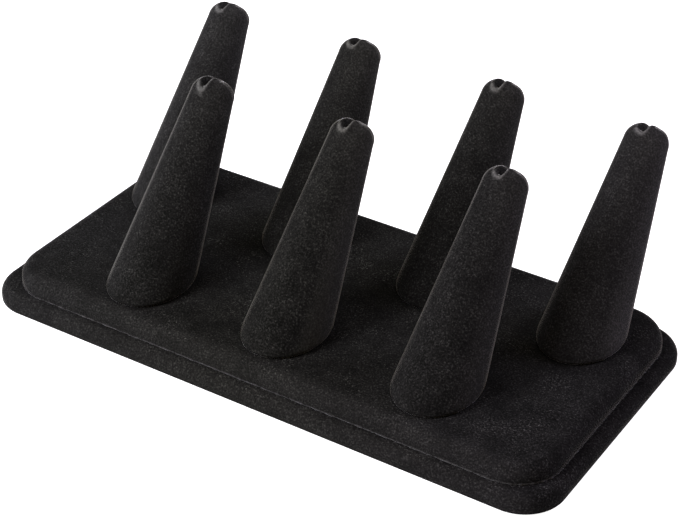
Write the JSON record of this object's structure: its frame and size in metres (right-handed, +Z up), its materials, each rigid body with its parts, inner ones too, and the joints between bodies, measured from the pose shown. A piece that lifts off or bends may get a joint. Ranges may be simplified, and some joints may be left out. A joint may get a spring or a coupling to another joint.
{
  "type": "ring display stand",
  "caption": "Ring display stand: leaning, tapered velvet fingers in two staggered rows on a two-tier velvet base, each drawn into a small gathered pit at its tip.",
  "frame": {"origin": "middle of the base's underside, on the surface that the stand rests on", "axes": "+X along the base's length, with the left end of the picture at -X; +Y towards the row that stands at the back, the way the fingers lean; +Z up"},
  "size_m": [0.223, 0.1261, 0.0776],
  "materials": {
    "black_velvet": "short dense pile, soft sheen at the edges",
    "black_felt": "thin pressed felt, matt",
    "fibreboard": "plain medium-density fibreboard",
    "turned_wood": "unfinished turned softwood",
    "zinc_plated_steel": "zinc plated"
  },
  "bodies": {
    "root": {"underside_lining": "black_felt", "lower_board": "fibreboard", "lower_cover": "black_velvet", "upper_board": "fibreboard", "upper_cover": "black_velvet", "finger_core_back_1": "turned_wood", "finger_cover_back_1": "black_velvet", "finger_core_back_2": "turned_wood", "finger_cover_back_2": "black_velvet", "finger_core_back_3": "turned_wood", "finger_cover_back_3": "black_velvet", "finger_core_back_4": "turned_wood", "finger_cover_back_4": "black_velvet", "finger_core_front_1": "turned_wood", "finger_cover_front_1": "black_velvet", "finger_core_front_2": "turned_wood", "finger_cover_front_2": "black_velvet", "finger_core_front_3": "turned_wood", "finger_cover_front_3": "black_velvet", "finger_screws": "zinc_plated_steel"}
  },
  "joints": []
}
